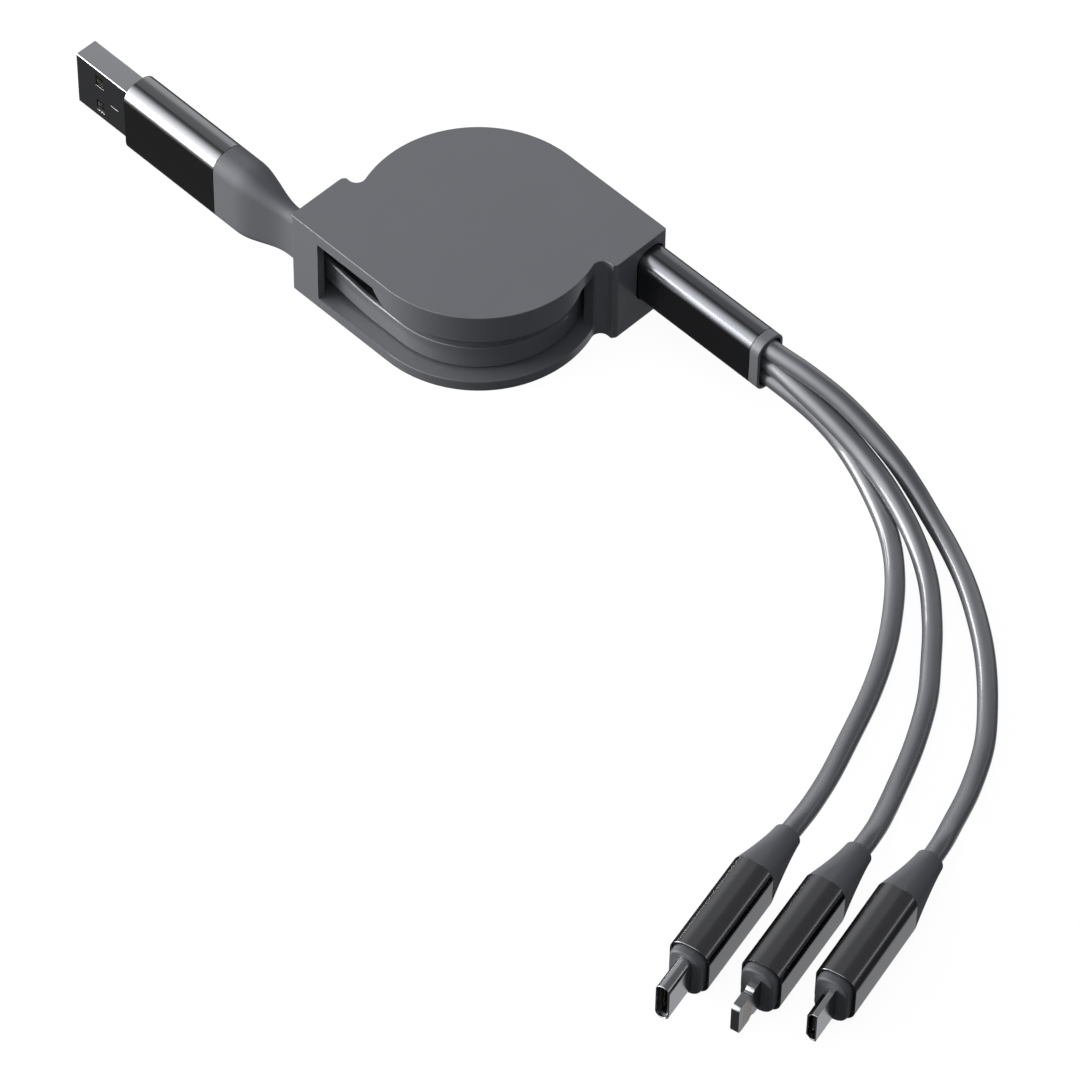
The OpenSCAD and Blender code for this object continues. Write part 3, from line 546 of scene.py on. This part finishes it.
def for_rays(tree, kind, rest, chosen):
    """Shows one shader to rays of this kind, and the other one to all the rest."""
    path = tree.nodes.new("ShaderNodeLightPath")
    both = tree.nodes.new("ShaderNodeMixShader")
    tree.links.new(path.outputs[kind], both.inputs[0])
    tree.links.new(rest.outputs[0], both.inputs[1])
    tree.links.new(chosen.outputs[0], both.inputs[2])
    return both


def place_floor():
    """A white ground that keeps the shadow. Glossy surfaces don't show it, and it throws back little light
    onto the object."""
    bpy.ops.object.select_all(action="DESELECT")
    bpy.ops.mesh.primitive_plane_add(size=6, location=(0, 0, -0.0001))
    floor = bpy.context.object
    floor.name = "floor"
    material = bpy.data.materials.new("white floor")
    material.use_nodes = True
    tree = material.node_tree
    tree.nodes.clear()
    paper = tree.nodes.new("ShaderNodeBsdfDiffuse")
    paper.inputs["Color"].default_value = (0.12, 0.12, 0.12, 1)
    glow = tree.nodes.new("ShaderNodeEmission")
    glow.inputs["Strength"].default_value = 0.95
    seen = tree.nodes.new("ShaderNodeAddShader")
    tree.links.new(paper.outputs[0], seen.inputs[0])
    tree.links.new(glow.outputs[0], seen.inputs[1])
    bounce = tree.nodes.new("ShaderNodeBsdfDiffuse")
    bounce.inputs["Color"].default_value = (0.1, 0.1, 0.1, 1)
    open_below = tree.nodes.new("ShaderNodeBsdfTransparent")
    whole = for_rays(tree, "Is Glossy Ray", for_rays(tree, "Is Camera Ray", bounce, seen), open_below)
    result = tree.nodes.new("ShaderNodeOutputMaterial")
    tree.links.new(whole.outputs[0], result.inputs["Surface"])
    floor.data.materials.append(material)


def soft_panel(name, direction, distance, width, height, power):
    """A rectangular lamp that faces the object."""
    aim = Vector((45, -30, 0)) * MM
    towards = Vector(direction).normalized()
    bpy.ops.object.light_add(type="AREA")
    lamp = bpy.context.object
    lamp.name = name
    lamp.data.shape = "RECTANGLE"
    lamp.data.size = width
    lamp.data.size_y = height
    lamp.data.energy = power
    lamp.rotation_euler = towards.to_track_quat("Z", "Y").to_euler()
    lamp.location = aim + towards * distance
    lamp.visible_camera = False
    return lamp


class NodeMaths:
    """Small sums in a node tree, on numbers and sockets."""

    def __init__(self, tree, direction):
        self.tree = tree
        self.direction = direction

    def sum_of(self, kind, a, b):
        node = self.tree.nodes.new("ShaderNodeMath")
        node.operation = kind
        for socket, value in zip(node.inputs, (a, b)):
            if isinstance(value, (int, float)):
                socket.default_value = value
            else:
                self.tree.links.new(value, socket)
        return node.outputs[0]

    def towards(self, axis):
        """1 where the direction is the axis, -1 where it is the opposite one."""
        dot = self.tree.nodes.new("ShaderNodeVectorMath")
        dot.operation = "DOT_PRODUCT"
        dot.inputs[1].default_value = Vector(axis).normalized()
        self.tree.links.new(self.direction, dot.inputs[0])
        return dot.outputs["Value"]

    def step(self, value, low, high, kind="SMOOTHSTEP"):
        """0 to 1 as a value goes from low to high."""
        ramp = self.tree.nodes.new("ShaderNodeMapRange")
        ramp.interpolation_type = kind
        ramp.inputs["From Min"].default_value = low
        ramp.inputs["From Max"].default_value = high
        self.tree.links.new(value, ramp.inputs["Value"])
        return ramp.outputs[0]


def seen_in_gloss(sums):
    """The studio as glossy surfaces show it: a large soft light, a paler back, a thin far light and a pale
    patch of floor, with near-dark in between."""
    height = sums.towards((0, 0, 1))
    darkest, paler_above, side_focus = 0.065, 0.1, 1.8

    def light(spot, kind="SMOOTHSTEP"):
        return sums.step(sums.towards(spot["middle"]), *spot["fade"], kind)

    side = sums.sum_of("POWER", light(SIDE_LIGHT, "LINEAR"), side_focus)
    back = sums.sum_of("MULTIPLY", light(BACK_LIGHT), sums.step(height, -0.35, 0.1))
    line = sums.sum_of("MULTIPLY", sums.step(height, 0.1, 0.16), sums.step(height, 0.27, 0.21))
    line = sums.sum_of("MULTIPLY", line, light(FAR_LINE))
    total = sums.sum_of("MULTIPLY", sums.step(height, -0.2, 0.3), paler_above)
    total = sums.sum_of("ADD", total, darkest)
    for part, spot in ((side, SIDE_LIGHT), (back, BACK_LIGHT), (line, FAR_LINE),
                       (light(FLOOR_PATCH), FLOOR_PATCH)):
        total = sums.sum_of("ADD", total, sums.sum_of("MULTIPLY", part, spot["strength"]))
    return total


def light_the_stage():
    soft_panel("key panel", (-0.84, -0.52, 0.17), distance=0.9, width=0.95, height=0.55, power=20)
    over = soft_panel("top panel", (0, 0, 1), distance=0.9, width=0.5, height=0.5, power=1.1)
    over.visible_glossy = False
    world = bpy.data.worlds.new("studio")
    bpy.context.scene.world = world
    world.use_nodes = True
    tree = world.node_tree
    tree.nodes.clear()
    around = tree.nodes.new("ShaderNodeTexCoord").outputs["Generated"]
    ambient = tree.nodes.new("ShaderNodeBackground")
    ambient.inputs["Color"].default_value = (0.95, 0.98, 1.08, 1)
    ambient.inputs["Strength"].default_value = 0.3
    reflected = tree.nodes.new("ShaderNodeBackground")
    reflected.inputs["Color"].default_value = (0.985, 0.992, 1.02, 1)
    tree.links.new(seen_in_gloss(NodeMaths(tree, around)), reflected.inputs["Strength"])
    white = tree.nodes.new("ShaderNodeBackground")
    white.inputs["Color"].default_value = (1, 1, 1, 1)
    whole = for_rays(tree, "Is Camera Ray", for_rays(tree, "Is Glossy Ray", ambient, reflected), white)
    result = tree.nodes.new("ShaderNodeOutputWorld")
    tree.links.new(whole.outputs[0], result.inputs["Surface"])
    bpy.context.scene.view_settings.view_transform = "Standard"


# Cords

def smooth_route(points, between):
    """Points on one smooth curve through the given ones, in metres."""
    spread = [points[0] * 2 - points[1], *points, points[-1] * 2 - points[-2]]
    found = []
    for i in range(1, len(spread) - 2):
        a, b, c, d = spread[i - 1:i + 3]
        for step in range(between):
            t = step / between
            found.append(0.5 * ((2 * b) + (c - a) * t + (2 * a - 5 * b + 4 * c - d) * t ** 2
                                + (3 * b - a - 3 * c + d) * t ** 3))
    found.append(points[-1])
    return found


def plug_direction(plug):
    turn = math.radians(PLUG_TURNS[plug])
    return Vector((math.cos(turn), math.sin(turn), 0))


def make_cord(plug, level, finish):
    """A cord from the splitter to its plug; level is -1, 0 or 1, from the lowest to the highest."""
    node = plug + "_cord"
    start = Vector(CORD_START) + Vector((0, 0, level * CORD_WIDTH))
    front = Vector((*PLUG_SPOTS[plug], PLUG_HALF_HEIGHT))
    boot_end = front - plug_direction(plug) * (SLEEVE_LENGTH + BOOT_LENGTH)
    given = [start, *(Vector(p) for p in CORD_ROUTES[plug]), boot_end]
    route = smooth_route([p * MM for p in given], 8)
    curve = bpy.data.curves.new(node + "_finished", "CURVE")
    curve.dimensions = "3D"
    line = curve.splines.new("POLY")
    line.points.add(len(route) - 1)
    for point, place in zip(line.points, route):
        point.co = (*place, 1)
    line.use_smooth = True
    curve.bevel_depth = CORD_WIDTH / 2 * MM
    curve.bevel_resolution = 6
    curve.use_fill_caps = True
    cord = bpy.data.objects.new(node + "_finished", curve)
    bpy.context.scene.collection.objects.link(cord)
    finish_piece(cord, finish, node)


# Pieces of the A plug, the splitter and the device plugs

def make_usb_a_boot(finish):
    """Bottle-shaped boot: it starts as the sleeve's outline and ends in a flat neck in the mouth."""
    axis, sleeve = middle("usb_a_sleeve") / MM, half_size("usb_a_sleeve") / MM
    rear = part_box("usb_a_sleeve")[1].x / MM
    case_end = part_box("case_top")[0].x / MM
    swell, neck, steps, corner_steps = 5, 3, 24, 10
    taper = case_end - rear - swell - neck

    def ring(x, t):
        section = rounded_section(mix(sleeve.y, NECK_HALF_WIDTH, t), mix(sleeve.z, NECK_HALF_HEIGHT, t),
                                  mix(A_CORNER, NECK_HALF_WIDTH - HAIR, t), corner_steps)
        return ring_across(x, axis.y, axis.z, section)

    rings = [ring(rear, 0)]
    for step in range(steps + 1):
        rings.append(ring(rear + swell + taper * step / steps, ease(step / steps)))
    rings.append(ring(-MOUTH_END, 1))
    boot = rolled_up("usb_a_boot_finished", rings)
    round_edges(boot, 0.12, 2, 50)
    smooth(boot)
    finish_piece(boot, finish, "usb_a_boot")


def make_flat_cable(node, end_node, side, climb, level_part, finish):
    """One cable as it lies round the reel and runs to its mouth. It is drawn out between the two."""
    end = middle(end_node) / MM
    section = rounded_section(FLAT_HALF_WIDTH, FLAT_HALF_HEIGHT, FLAT_CORNER, 6)
    rings = []
    wrap_steps, run_steps = 53, 24
    for step in range(wrap_steps, 0, -1):
        turn = math.radians(-90 + FLAT_WRAP * step / wrap_steps)
        out = Vector((math.cos(turn), math.sin(turn), 0))
        rings.append([Vector((*(out * (FLAT_RADIUS - p[0])).xy, FLAT_LEVEL + p[1])) * MM for p in section])
    for step in range(run_steps + 1):
        t = step / run_steps
        level = FLAT_LEVEL + climb * ease((t - level_part) / (1 - level_part))
        rings.append(ring_across(-MOUTH_END * t, -mix(FLAT_RADIUS, abs(end.y), t), level, section))
    if side > 0:
        half_turn = Matrix.Rotation(math.pi, 3, "Z")
        rings = [[half_turn @ p for p in ring] for ring in rings]
    cable = rolled_up(node + "_finished", rings)
    smooth(cable, 50, flat_faces=False)
    dress(cable, finish)
    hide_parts(node)
    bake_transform(cable)


def make_device_boot(plug, finish):
    """Concave boot with a round end that is wider than the cord. The lip is the roundness of that end."""
    lip, lip_steps, steps, corner_steps, hollow = 0.5, 5, 24, 9, 1.3
    circle = rounded_section(1, 1, 1, corner_steps)
    rear, end_face = -SLEEVE_LENGTH - BOOT_LENGTH, BOOT_END_RADIUS - lip
    rings = []
    for step in range(lip_steps + 1):
        turn = math.radians(90 * step / lip_steps)
        radius = end_face + lip * math.sin(turn)
        round_section = [(x * radius, y * radius) for x, y in circle]
        rings.append(ring_across(rear + lip * (1 - math.cos(turn)), 0, 0, round_section))
    for step in range(steps - 1, -1, -1):
        t = step / steps
        share = 1 - (1 - t) ** hollow
        section = rounded_section(
            mix(PLUG_HALF_WIDTH, BOOT_END_RADIUS, share), mix(PLUG_HALF_HEIGHT, BOOT_END_RADIUS, share),
            mix(PLUG_CORNER, BOOT_END_RADIUS - HAIR, share), corner_steps)
        rings.append(ring_across(-SLEEVE_LENGTH - (BOOT_LENGTH - lip) * t, 0, 0, section))
    boot = rolled_up(plug + "_boot_finished", turn_to_plug(rings, plug))
    smooth(boot, 50)
    finish_piece(boot, finish, plug + "_boot")
    return boot


def main():
    place_camera()
    finishes = make_finishes()
    place_floor()
    light_the_stage()

    softened_plate("case_bottom", finishes["case"], FLOOR_THICKNESS)
    softened_plate("case_top", finishes["case"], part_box("case_top")[1].z / MM)
    for node, finish in PLAIN_SOLIDS.items():
        dress(nodes[node], finishes[finish])
    make_flat_cable("usb_a_flat_cable", "usb_a_sleeve", -1, *USB_A_RUN, finishes["flat cable"])
    make_flat_cable("splitter_flat_cable", "splitter_sleeve", 1, *SPLITTER_RUN, finishes["flat cable"])

    softened("usb_a_shell", finishes["shell"], *SHELL_EDGES, corners=SHELL_CORNERS)
    for node, (finish, *edges) in USB_A_SOLIDS.items():
        softened(node, finishes[finish], *edges)
    make_usb_a_boot(finishes["boot"])

    for node, (finish, *edges) in SPLITTER_SOLIDS.items():
        softened(node, finishes[finish], *edges)

    for level, (plug, tip) in enumerate(DEVICE_TIPS.items(), -1):
        on_it = [make_device_boot(plug, finishes["boot"])]
        for part, (finish, *edges) in {**DEVICE_SOLIDS, **tip}.items():
            on_it.append(softened(plug + "_" + part, finishes[finish], *edges))
        make_cord(plug, level, finishes["cord"])


main()
